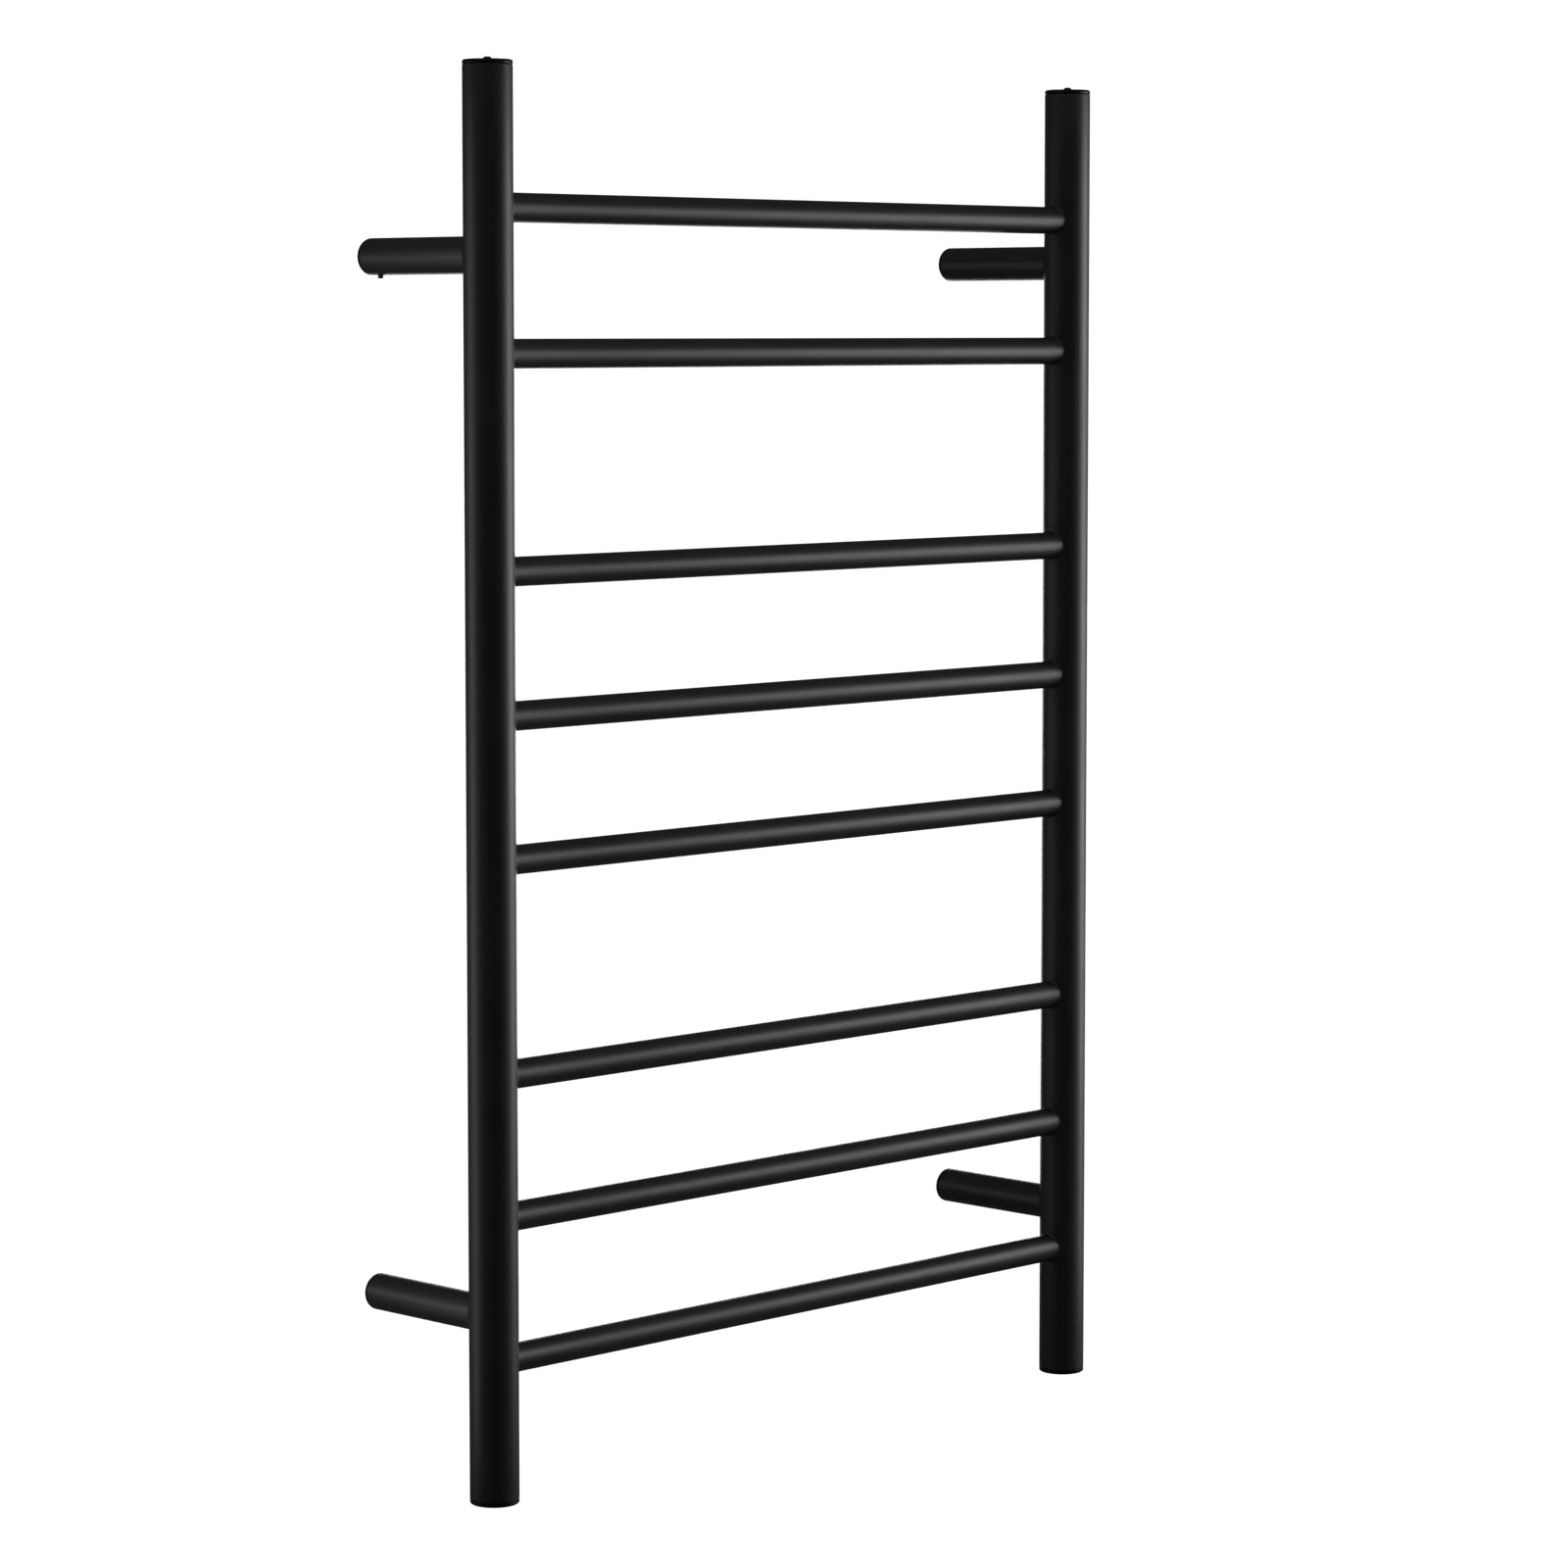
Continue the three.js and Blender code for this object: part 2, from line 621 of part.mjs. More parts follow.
// The silicone cap that seals the far end of the cable.
function cableEndSeal() {
  const radius = CABLE_DIAMETER / 2;
  const foot = CABLE_END - END_SEAL.sleeve;
  const top = CABLE_END + END_SEAL.cap;
  const wall = END_SEAL.wall;
  const profile = [
    [radius + GAP, foot],
    [radius + wall, foot],
    ...quarter(radius, top - wall, wall, 0, 2),
    [0, top],
    [0, CABLE_END + GAP],
    [radius + GAP, CABLE_END + GAP],
  ];
  return turned(profile, SCREW_SIDES);
}

function electrics() {
  const made = group(
    -POST_X,
    -WALL_DISTANCE,
    0,
    piece("terminal_block", terminalBlock(), MATERIALS.nylon),
    piece("earth_lug", earthLug().translate(EARTH_OFFSET, 0, 0), MATERIALS.plainSteel),
    piece("earth_screw", earthScrew().translate(EARTH_OFFSET, 0, 0), MATERIALS.plainSteel),
    piece("earth_lead", earthLead(), MATERIALS.earthSheath),
    piece("cable_joint", cableJoint(), MATERIALS.silicone),
    piece("thermal_limiter", thermalLimiter(), MATERIALS.nylon),
    piece("live_lead", shortLead(-1), MATERIALS.liveSheath),
    piece("neutral_lead", shortLead(0), MATERIALS.neutralSheath),
    piece("limiter_lead", limiterLead(), MATERIALS.liveSheath),
    piece("cable_end_seal", cableEndSeal().translate(CABLE_OFFSET, 0, 0), MATERIALS.silicone),
  );
  ["live", "neutral", "earth"].forEach((name, i) => {
    made.add(piece(`terminal_screw_${name}`, terminalScrew(i - 1), MATERIALS.brass));
  });
  return made;
}

// ---------------------------------------------------------------- the rack

const rack = new THREE.Group();
rack.add(ladder(), electrics());
rack.add(group(0, -WALL_DISTANCE, 0, piece("heating_cable", heatingCable(), MATERIALS.silicone)));
for (const level of Object.keys(LEVELS)) {
  for (const side of Object.keys(SIDES)) {
    rack.add(standoff(level, side), postEnd(level, side));
  }
}

export default rack;
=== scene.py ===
import math

import bmesh
import bpy
from mathutils import Matrix, Vector


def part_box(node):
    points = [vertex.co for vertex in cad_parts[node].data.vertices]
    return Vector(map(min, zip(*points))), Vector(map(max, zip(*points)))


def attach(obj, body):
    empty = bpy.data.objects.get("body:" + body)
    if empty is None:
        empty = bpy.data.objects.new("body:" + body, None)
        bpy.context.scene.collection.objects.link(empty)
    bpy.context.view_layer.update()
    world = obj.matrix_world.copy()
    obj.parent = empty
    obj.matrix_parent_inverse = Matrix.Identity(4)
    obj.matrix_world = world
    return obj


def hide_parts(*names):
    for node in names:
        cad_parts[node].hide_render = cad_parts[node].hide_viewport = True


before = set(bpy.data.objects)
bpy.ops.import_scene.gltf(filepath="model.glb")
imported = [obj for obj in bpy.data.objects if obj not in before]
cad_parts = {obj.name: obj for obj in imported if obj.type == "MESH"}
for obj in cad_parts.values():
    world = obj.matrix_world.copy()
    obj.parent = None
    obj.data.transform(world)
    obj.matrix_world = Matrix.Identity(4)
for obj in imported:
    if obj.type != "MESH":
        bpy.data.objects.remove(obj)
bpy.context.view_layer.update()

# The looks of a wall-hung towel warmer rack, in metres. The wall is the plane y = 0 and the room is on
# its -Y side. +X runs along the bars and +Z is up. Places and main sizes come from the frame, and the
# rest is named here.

MM = 0.001
SIDES = ("left", "right")
PLACES = ("upper_left", "upper_right", "lower_left", "lower_right")
BARS = sorted(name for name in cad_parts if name.startswith("bar_"))

# ---------------------------------------------------------------- sizes that the frame's boxes don't give

POST_WALL = 1.5 * MM
BAR_WALL = 1.0 * MM
STANDOFF_WALL = 1.5 * MM
HOLE_CLEARANCE = 0.3 * MM
INLET_RADIUS = 6.5 * MM

WELD_SIZE = 1.1 * MM  # how far the fillet of a weld reaches along each tube
WELD_SINK = 0.12 * MM  # how deep the edge of a weld lies in the post
WELD_RIPPLE = 0.10  # how much the reach of a weld varies round it

CAP_FLANGE = 3.0 * MM
CAP_SPIGOT_RADIUS = 14.1 * MM
CAP_SPIGOT_BORE = 10.0 * MM
CAP_SPIGOT_LENGTH = 9.0 * MM
CAP_ROUND = 1.5 * MM
CAP_SCREW_HOLE = 1.8 * MM
CAP_HEAD_HEIGHT = 2.2 * MM
CAP_SHANK_RADIUS = 1.5 * MM
CAP_SHANK_PITCH = 0.5 * MM

PLUG_FLANGE = 3.0 * MM
PLUG_SPIGOT_RADIUS = 10.2 * MM
PLUG_ROUND = 2.6 * MM
PLUG_BORE = 2.6 * MM
PLUG_SINK = 4.8 * MM
PLUG_SIDE_HOLE = 1.7 * MM
PLUG_SIDE_OFFSET = 7.65 * MM
PLUG_CABLE_BORE = 5.1 * MM
GROMMET_BORE = 3.5 * MM
GROMMET_LIP = 1.4 * MM

GRUB_HOLE = 2.3 * MM  # the radius of its hole in the standoff
GRUB_LENGTH = 5.0 * MM
GRUB_PITCH = 0.7 * MM
SOCKET = 1.0 * MM  # half of the width across the flats of every hexagon socket
RIM_ROUND = 0.4 * MM  # on the cut ends of posts and standoffs

CABLE_RADIUS = 1.5 * MM
CABLE_BEND = 8.0 * MM
CABLE_DROP = 6.4 * MM  # below the axis of a bar

POST_SEGMENTS = 96
BAR_SEGMENTS = 64
STANDOFF_SEGMENTS = 96
TURNED_SEGMENTS = 96
SCREW_SEGMENTS = 48
WELD_STEPS = 6
SHARP_ANGLE = math.radians(38)

# ---------------------------------------------------------------- places, from the frame


def middle(node):
    low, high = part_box(node)
    return (low + high) / 2


def radius_of(node, axis):
    """Half the size of a round node's box along one axis."""
    low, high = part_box(node)
    return (high[axis] - low[axis]) / 2


POST_RADIUS = radius_of("post_left", 0)
BAR_RADIUS = radius_of(BARS[0], 2)
STANDOFF_RADIUS = radius_of("standoff_upper_left", 2)
POST_AXIS = {side: middle(f"post_{side}") for side in SIDES}
WALL_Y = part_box("wall_plug_upper_left")[1].y
BAR_HEIGHTS = [middle(bar).z for bar in BARS]
GRUB_Y = middle("grub_screw_upper_left").y


def side_of(place):
    return place.split("_")[1]


def level_of(place):
    return 1 if place.startswith("upper") else -1


# ---------------------------------------------------------------- mesh tools


class Shell:
    """The points and faces of one closed mesh, gathered ring by ring."""

    def __init__(self):
        self.points = []
        self.faces = []

    def ring(self, points):
        first = len(self.points)
        self.points.extend(points)
        return list(range(first, len(self.points)))

    def bridge(self, one, other):
        """Joins two rings, of which one may be a single point."""
        count = max(len(one), len(other))
        for k in range(count):
            here = (one[k % len(one)], one[(k + 1) % count % len(one)])
            there = (other[(k + 1) % count % len(other)], other[k % len(other)])
            self.faces.append(tuple(dict.fromkeys(here + there)))

    def chain(self, rings, loop=False):
        for one, other in zip(rings, rings[1:]):
            self.bridge(one, other)
        if loop:
            self.bridge(rings[-1], rings[0])


def turn(k, count):
    return 2 * math.pi * k / count


def circle(radius, height, count):
    """A ring of points round Z."""
    angles = [turn(k, count) for k in range(count)]
    return [(radius * math.cos(a), radius * math.sin(a), height) for a in angles]


def mark_wear(bm):
    """Gives each point a wear value: 0 on open faces, up to 1 where the surface bends out sharply."""
    layer = bm.verts.layers.float.new("wear")
    gentle, sharp = 350.0, 1300.0  # bends, in radians for each metre
    for edge in bm.edges:
        bend = edge.calc_face_angle_signed(0.0)
        if bend <= 0:
            continue
        centres = [face.calc_center_median() for face in edge.link_faces]
        spacing = max((centres[0] - centres[1]).length, 0.01 * MM)
        wear = min(max((bend / spacing - gentle) / (sharp - gentle), 0.0), 1.0)
        for vert in edge.verts:
            vert[layer] = max(vert[layer], wear)


def make(node, shell, place, slot):
    """Makes the piece that stands for a CAD node from a shell, and gives it the material of its slot."""
    mesh = bpy.data.meshes.new(f"{node}_visual")
    mesh.from_pydata(shell.points, [], shell.faces)
    mesh.transform(place)
    bm = bmesh.new()
    bm.from_mesh(mesh)
    unused = [vert for vert in bm.verts if not vert.link_faces]
    bmesh.ops.delete(bm, geom=unused, context="VERTS")
    bmesh.ops.recalc_face_normals(bm, faces=bm.faces)
    mark_wear(bm)
    bm.to_mesh(mesh)
    bm.free()
    mesh.shade_smooth()
    mesh.set_sharp_from_angle(angle=SHARP_ANGLE)
    piece = bpy.data.objects.new(f"{node}_visual", mesh)
    bpy.context.scene.collection.objects.link(piece)
    mesh.materials.append(MATERIALS[slot])
    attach(piece, "root")
    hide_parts(node)
    return piece


# ---------------------------------------------------------------- turned bodies


def rounded(corners, steps=5):
    """The outline through (radius, height, rounding) corners, with an arc at each rounding."""
    outline = []
    for k, (x, y, rounding) in enumerate(corners):
        here = Vector((x, y))
        if rounding == 0:
            outline.append((x, y))
            continue
        before = (Vector(corners[k - 1][:2]) - here).normalized()
        after = (Vector(corners[(k + 1) % len(corners)][:2]) - here).normalized()
        half = before.angle(after) / 2
        centre = here + (before + after).normalized() * rounding / math.sin(half)
        start = here + before * rounding / math.tan(half) - centre
        sweep = (math.pi - 2 * half) * (1 if before.cross(after) < 0 else -1)
        for step in range(steps + 1):
            point = centre + Matrix.Rotation(sweep * step / steps, 2) @ start
            outline.append((point.x, point.y))
    return outline


def lathe(outline, segments):
    """A body turned about Z from an outline that is a loop, or that starts and ends on the axis.

    A point of the outline may have a third value, a function of the angle that scales its radius.
    """
    shell = Shell()
    rings = []
    for radius, height, *shape in outline:
        if radius == 0:
            rings.append(shell.ring([(0, 0, height)]))
            continue
        scale = shape[0] if shape else lambda angle: 1
        angles = [turn(k, segments) for k in range(segments)]
        reach = [radius * scale(angle) for angle in angles]
        ring = [(r * math.cos(a), r * math.sin(a), height) for r, a in zip(reach, angles)]
        rings.append(shell.ring(ring))
    shell.chain(rings, loop=outline[0][0] > 0)
    return shell


def hexagonal(angle):
    """Scales a circle to the hexagon round it."""
    sector = math.pi / 3
    return 1 / math.cos((angle % sector) - sector / 2)


def socket(top, depth, bevel=0.12 * MM):
    """The outline of a hexagon socket, from its rim to the axis."""
    return [
        (SOCKET + 2 * bevel, top, hexagonal),
        (SOCKET + bevel, top - bevel / 3, hexagonal),
        (SOCKET, top - bevel, hexagonal),
        (SOCKET, top - depth, hexagonal),
        (SOCKET * 0.8, top - depth, hexagonal),
        (0, top - depth - SOCKET * 0.3),
    ]


def thread(major, pitch, low, high, steps=8):
    """The outline of a screw thread: rings whose radius follows a helix, fading out at both ends."""
    depth = 0.6 * pitch
    count = round((high - low) / pitch * steps)

    def ring(k):
        height = low + (high - low) * k / count
        fade = min(1.0, 3 * min(k, count - k) / steps)

        def scale(angle):
            phase = (height / pitch - angle / (2 * math.pi)) % 1
            flank = min(abs(2 * phase - 1) * 1.25, 1.0)
            return 1 - fade * depth / major * flank

        return (major, height, scale)

    return [ring(k) for k in range(count + 1)]


# ---------------------------------------------------------------- tubes with holes in their walls


class Hole:
    """A round hole through the wall of a tube along Z, at a height and a quarter turn.

    The tube's grid is left open round it, over some columns to each side, some rows and a margin.
    """

    def __init__(self, quarter, height, radius, columns, rows, margin):
        self.quarter = quarter
        self.height = height
        self.radius = radius
        self.columns = columns
        self.rows = rows
        self.margin = margin

    def levels(self):
        reach = self.radius + self.margin
        return [self.height - reach + 2 * reach * k / self.rows for k in range(self.rows + 1)]


def hole_rings(shell, rows, heights, hole, radius, segments, steps=5):
    """Fills the window round a hole with rings that turn from its square edge into the round hole."""
    centre = hole.quarter * segments // 4
    left, right = centre - hole.columns, centre + hole.columns
    low = heights.index(hole.levels()[0])
    high = low + hole.rows
    # The edge runs round from the window's lower left corner, and each of its sides spans 90 degrees.
    edge = [(column, low) for column in range(left, right)]
    edge += [(right, row) for row in range(low, high)]
    edge += [(column, high) for column in range(right, left, -1)]
    edge += [(left, row) for row in range(high, low, -1)]
    bearings = []
    for side, count in enumerate((2 * hole.columns, hole.rows, 2 * hole.columns, hole.rows)):
        bearings += [math.pi * (side / 2 - 0.75 + k / count / 2) for k in range(count)]
    previous = [rows[row][column % segments] for column, row in edge]
    for step in range(1, steps + 1):
        share = math.sin(step / steps * math.pi / 2)
        ring = []
        for (column, row), bearing in zip(edge, bearings):
            across = math.asin(hole.radius * math.cos(bearing) / radius)
            angle = (1 - share) * turn(column, segments) + share * (turn(centre, segments) + across)
            round_height = hole.height + hole.radius * math.sin(bearing)
            height = (1 - share) * heights[row] + share * round_height
            ring.append((radius * math.cos(angle), radius * math.sin(angle), height))
        current = shell.ring(ring)
        shell.bridge(previous, current)
        previous = current
    return previous


def tube_wall(shell, radius, heights, holes, segments):
    """One cylindrical surface, open at its holes. Gives its end rings and the rings of its holes."""
    rows = [shell.ring(circle(radius, height, segments)) for height in heights]
    windows = set()
    for hole in holes:
        centre = hole.quarter * segments // 4
        low = heights.index(hole.levels()[0])
        columns = range(centre - hole.columns, centre + hole.columns)
        for row in range(low, low + hole.rows):
            windows.update((row, k % segments) for k in columns)
    for row in range(len(rows) - 1):
        for k in range(segments):
            if (row, k) not in windows:
                n = (k + 1) % segments
                shell.faces.append((rows[row][k], rows[row][n], rows[row + 1][n], rows[row + 1][k]))
    rims = [hole_rings(shell, rows, heights, hole, radius, segments) for hole in holes]
    return rows[0], rows[-1], rims


def tube(outer, inner, low, high, low_end, high_end, holes, segments):
    """A tube along Z. Each end is a list of rings, from the outer surface round to the inner one."""
    shell = Shell()
    heights = {low, high}
    for hole in holes:
        heights.update(hole.levels())
    heights = sorted(heights)
    outside = tube_wall(shell, outer, heights, holes, segments)
    inside = tube_wall(shell, inner, heights, holes, segments)
    for outer_rim, inner_rim in zip(outside[2], inside[2]):
        shell.bridge(outer_rim, inner_rim)
    for end, first, last in ((low_end, outside[0], inside[0]), (high_end, outside[1], inside[1])):
        shell.chain([first, *(shell.ring(ring) for ring in end), last])
    return shell


def cut_end(outer, inner, height, way, segments, steps=4):
    """The rings of a cut end with rounded edges. Its way is 1 at a tube's top and -1 at its foot."""
    rings = []
    for centre, start in ((outer - RIM_ROUND, 0), (inner + RIM_ROUND, math.pi / 2)):
        for step in range(steps + 1):
            angle = start + step / steps * math.pi / 2
            level = height - way * RIM_ROUND * (1 - math.sin(angle))
            rings.append(circle(centre + RIM_ROUND * math.cos(angle), level, segments))
    return rings[1:-1]


def surface_of_post(across):
    """How far from the axis of a post its surface is, at a distance across the post."""
    return math.sqrt(POST_RADIUS**2 - across**2)


def weld(radius, segments):
    """The rings of a tube's welded end, as (out, across, up) from the axis of the post that it meets.

    They are the fillet, from the tube to the post, then the edge that sinks into the post and comes back
    to the tube.
    """
    rings = [[] for _ in range(WELD_STEPS + 3)]
    for k in range(segments):
        angle = turn(k, segments)
        ripple = 0.6 * math.sin(5 * angle + 1) + 0.4 * math.sin(11 * angle)
        reach = WELD_SIZE * (1 + WELD_RIPPLE * ripple)
        corner = surface_of_post(radius * math.cos(angle))
        foot = surface_of_post((radius + reach) * math.cos(angle))
        for step in range(WELD_STEPS + 1):
            t = step / WELD_STEPS
            out = (1 - t) ** 2 * (corner + reach) + 2 * t * (1 - t) * corner + t**2 * foot
            across = radius + t**2 * reach
            rings[step].append((out, across * math.cos(angle), across * math.sin(angle)))
        for step, out, across in ((-2, foot, radius + reach), (-1, corner, radius)):
            point = (out - WELD_SINK, across * math.cos(angle), across * math.sin(angle))
            rings[step].append(point)
    return rings


# ---------------------------------------------------------------- posts, bars and standoffs


def post(side):
    node = f"post_{side}"
    low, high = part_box(node)
    axis = POST_AXIS[side]
    towards_bars = 0 if side == "left" else 2
    bar_hole = BAR_RADIUS + HOLE_CLEARANCE
    holes = [Hole(towards_bars, z, bar_hole, columns=14, rows=14, margin=2.6 * MM) for z in BAR_HEIGHTS]
    if side == "left":
        inlet = middle("standoff_lower_left").z
        holes.append(Hole(1, inlet, INLET_RADIUS, columns=10, rows=10, margin=1.8 * MM))
    inner = POST_RADIUS - POST_WALL
    low_end = cut_end(POST_RADIUS, inner, low.z, -1, POST_SEGMENTS)
    high_end = cut_end(POST_RADIUS, inner, high.z, 1, POST_SEGMENTS)
    ends = (low.z + RIM_ROUND, high.z - RIM_ROUND)
    shell = tube(POST_RADIUS, inner, *ends, low_end, high_end, holes, POST_SEGMENTS)
    make(node, shell, Matrix.Translation((axis.x, axis.y, 0)), "black_powder_coat")


def bar(node):
    shell = Shell()
    spacing = POST_AXIS["right"].x - POST_AXIS["left"].x
    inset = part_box(node)[0].x - POST_AXIS["left"].x
    bore = BAR_RADIUS - BAR_WALL

    def straight(radius, out):
        return [(out, y, z) for y, z, _ in circle(radius, 0, BAR_SEGMENTS)]

    def mirrored(ring):
        return [(spacing - out, y, z) for out, y, z in ring]

    ending = [*weld(BAR_RADIUS, BAR_SEGMENTS), straight(BAR_RADIUS, inset), straight(bore, inset)]
    stretch = [spacing * share for share in (0.15, 0.5, 0.85)]
    outside = [straight(BAR_RADIUS, out) for out in stretch]
    inside = [straight(bore, out) for out in reversed(stretch)]
    rings = [*reversed(ending), *outside, *map(mirrored, ending), *inside]
    shell.chain([shell.ring(ring) for ring in rings], loop=True)
    start = Vector((POST_AXIS["left"].x, POST_AXIS["left"].y, middle(node).z))
    make(node, shell, Matrix.Translation(start), "black_powder_coat")


def standoff(place):
    node = f"standoff_{place}"
    axis = POST_AXIS[side_of(place)]
    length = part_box(node)[1].y - axis.y
    bore = STANDOFF_RADIUS - STANDOFF_WALL
    welded = [[(y, z, out) for out, y, z in ring] for ring in weld(STANDOFF_RADIUS, STANDOFF_SEGMENTS)]
    reach = [(x, y, surface_of_post(x)) for x, y, _ in circle(bore, 0, STANDOFF_SEGMENTS)]
    mouth = [(x, y, out - WELD_SINK) for x, y, out in reach]
    start = POST_RADIUS + 3 * WELD_SIZE
    grub = Hole(3, GRUB_Y - axis.y, GRUB_HOLE, columns=5, rows=8, margin=1.2 * MM)
    low_end = [*welded, mouth]
    high_end = cut_end(STANDOFF_RADIUS, bore, length, 1, STANDOFF_SEGMENTS)
    ends = (start, length - RIM_ROUND)
    shell = tube(STANDOFF_RADIUS, bore, *ends, low_end, high_end, [grub], STANDOFF_SEGMENTS)
    to_wall = Matrix(((1, 0, 0, axis.x), (0, 0, 1, axis.y), (0, 1, 0, middle(node).z), (0, 0, 0, 1)))
    make(node, shell, to_wall, "black_powder_coat")


# ---------------------------------------------------------------- caps, plugs and screws


def post_end(place):
    """The frame of a post's end: Z points out along the post, from the outer face of the cap."""
    low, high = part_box(f"end_cap_{place}")
    axis = POST_AXIS[side_of(place)]
    if level_of(place) > 0:
        return Matrix.Translation((axis.x, axis.y, high.z))
    return Matrix.Translation((axis.x, axis.y, low.z)) @ Matrix.Rotation(math.pi, 4, "X")


def end_cap(place):
    foot = -CAP_FLANGE - CAP_SPIGOT_LENGTH
    corners = [
        (CAP_SCREW_HOLE, -CAP_FLANGE, 0.15 * MM),
        (CAP_SPIGOT_BORE, -CAP_FLANGE, 0.4 * MM),
        (CAP_SPIGOT_BORE, foot, 0.3 * MM),
        (CAP_SPIGOT_RADIUS, foot, 0.6 * MM),
        (CAP_SPIGOT_RADIUS, -CAP_FLANGE, 0.2 * MM),
        (POST_RADIUS, -CAP_FLANGE, 0.3 * MM),
        (POST_RADIUS, 0, CAP_ROUND),
        (CAP_SCREW_HOLE, 0, 0.2 * MM),
    ]
    cap = lathe(rounded(corners, 8), TURNED_SEGMENTS)
    make(f"end_cap_{place}", cap, post_end(place), "black_fitting")


def cap_screw(place):
    """A button head screw, whose head rests on the cap."""
    node = f"cap_screw_{place}"
    radius = radius_of(node, 0)
    low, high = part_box(node)
    length = high.z - low.z - CAP_HEAD_HEIGHT
    ball = radius**2 / 2 / CAP_HEAD_HEIGHT + CAP_HEAD_HEIGHT / 2
    rim = math.asin(radius / ball)
    mouth = math.asin((SOCKET + 0.6 * MM) / ball)
    steps = 10
    dome = []
    for step in range(steps + 1):
        angle = rim + (mouth - rim) * step / steps
        dome.append((ball * math.sin(angle), CAP_HEAD_HEIGHT - ball * (1 - math.cos(angle))))
    brim = 0.15 * MM
    top = dome[-1][1]
    outline = [
        (0, -length),
        (CAP_SHANK_RADIUS - 0.4 * MM, -length),
        *thread(CAP_SHANK_RADIUS, CAP_SHANK_PITCH, -length + 0.4 * MM, -0.6 * MM),
        (CAP_SHANK_RADIUS, 0),
        (radius - brim, 0),
        (radius, brim),
        *dome[1:],
        *socket(top, CAP_HEAD_HEIGHT * 0.6),
    ]
    make(node, lathe(outline, SCREW_SEGMENTS), post_end(place), "black_screw_steel")


def wall_end(place):
    """The frame of a standoff's wall end: Z points into the wall, from its surface."""
    turned = Matrix.Rotation(-math.pi / 2, 4, "X")
    x, z = POST_AXIS[side_of(place)].x, middle(f"standoff_{place}").z
    return Matrix.Translation((x, WALL_Y, z)) @ turned


def wall_plug(place):
    node = f"wall_plug_{place}"
    low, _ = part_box(node)
    foot = low.y - WALL_Y
    inlet = place == "lower_left"
    bore = PLUG_CABLE_BORE if inlet else PLUG_BORE
    groove = GRUB_Y - WALL_Y
    groove_half = GRUB_HOLE
    groove_radius = STANDOFF_RADIUS - GRUB_LENGTH - HOLE_CLEARANCE
    mouth = [] if inlet else [(PLUG_SINK, foot, 0.2 * MM)]
    throat = foot if inlet else foot + PLUG_SINK - PLUG_BORE
    corners = [
        (bore, 0, 0.3 * MM),
        (bore, throat, 0.2 * MM),
        *mouth,
        (PLUG_SPIGOT_RADIUS, foot, 0.5 * MM),
        (PLUG_SPIGOT_RADIUS, groove - groove_half, 0.15 * MM),
        (groove_radius, groove - groove_half, 0.3 * MM),
        (groove_radius, groove + groove_half, 0.3 * MM),
        (PLUG_SPIGOT_RADIUS, groove + groove_half, 0.15 * MM),
        (PLUG_SPIGOT_RADIUS, -PLUG_FLANGE, 0.2 * MM),
        (STANDOFF_RADIUS, -PLUG_FLANGE, 0.3 * MM),
        (STANDOFF_RADIUS, 0, PLUG_ROUND),
    ]
    plug = make(node, lathe(rounded(corners, 8), TURNED_SEGMENTS), wall_end(place), "black_fitting")
    if inlet:
        offsets = (-PLUG_SIDE_OFFSET, PLUG_SIDE_OFFSET)
        drill(plug, [wall_end(place) @ Matrix.Translation((x, 0, foot / 2)) for x in offsets])


def drill(piece, places):
    """Cuts a round screw hole through a piece at each place, along that place's Z."""
    half = 20 * MM
    for place in places:
        outline = [(0, -half), (PLUG_SIDE_HOLE, -half), (PLUG_SIDE_HOLE, half), (0, half)]
        shell = lathe(outline, SCREW_SEGMENTS)
        mesh = bpy.data.meshes.new("drill")
        mesh.from_pydata(shell.points, [], shell.faces)
        mesh.transform(place)
        tool = bpy.data.objects.new("drill", mesh)
        bpy.context.scene.collection.objects.link(tool)
        cut = piece.modifiers.new("screw_hole", "BOOLEAN")
        cut.operation = "DIFFERENCE"
        cut.solver = "MANIFOLD"
        cut.object = tool
        bpy.context.view_layer.update()
        graph = bpy.context.evaluated_depsgraph_get()
        drilled = bpy.data.meshes.new_from_object(piece.evaluated_get(graph))
        piece.modifiers.clear()
        piece.data = drilled
        bpy.data.objects.remove(tool)
    piece.data.set_sharp_from_angle(angle=SHARP_ANGLE)


def grommet():
    node = "cable_grommet"
    low, high = (bound.y - WALL_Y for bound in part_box(node))
    lip = radius_of(node, 0)
    neck = PLUG_CABLE_BORE - HOLE_CLEARANCE
    seat = low + GROMMET_LIP
    corners = [
        (GROMMET_BORE, high, 0.4 * MM),
        (GROMMET_BORE, low, 0.5 * MM),
        (lip, low, 0.6 * MM),
        (lip, seat, 0.3 * MM),
        (neck, seat, 0.2 * MM),
        (neck, high, 0.4 * MM),
    ]
    make(node, lathe(rounded(corners), TURNED_SEGMENTS), wall_end("lower_left"), "black_rubber")


def grub_screw(place):
    """A set screw with its hexagon socket down and its point in the groove of the plug."""
    node = f"grub_screw_{place}"
    radius = radius_of(node, 0)
    bevel = 0.5 * MM
    point = 1.2 * MM
    outline = [
        (0, -GRUB_LENGTH),
        (radius - point, -GRUB_LENGTH),
        (radius - 0.3 * MM, -GRUB_LENGTH + point),
        *thread(radius, GRUB_PITCH, -GRUB_LENGTH + point + 0.2 * MM, -bevel),
        (radius - 0.6 * bevel, -0.08 * MM),
        (radius - 0.8 * bevel, 0),
        *socket(0, 2 * SOCKET),
    ]
    start = Matrix.Translation((middle(node).x, GRUB_Y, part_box(node)[0].z))
    downwards = Matrix.Rotation(math.pi, 4, "X")
    make(node, lathe(outline, SCREW_SEGMENTS), start @ downwards, "black_screw_steel")


# ---------------------------------------------------------------- the heating cable


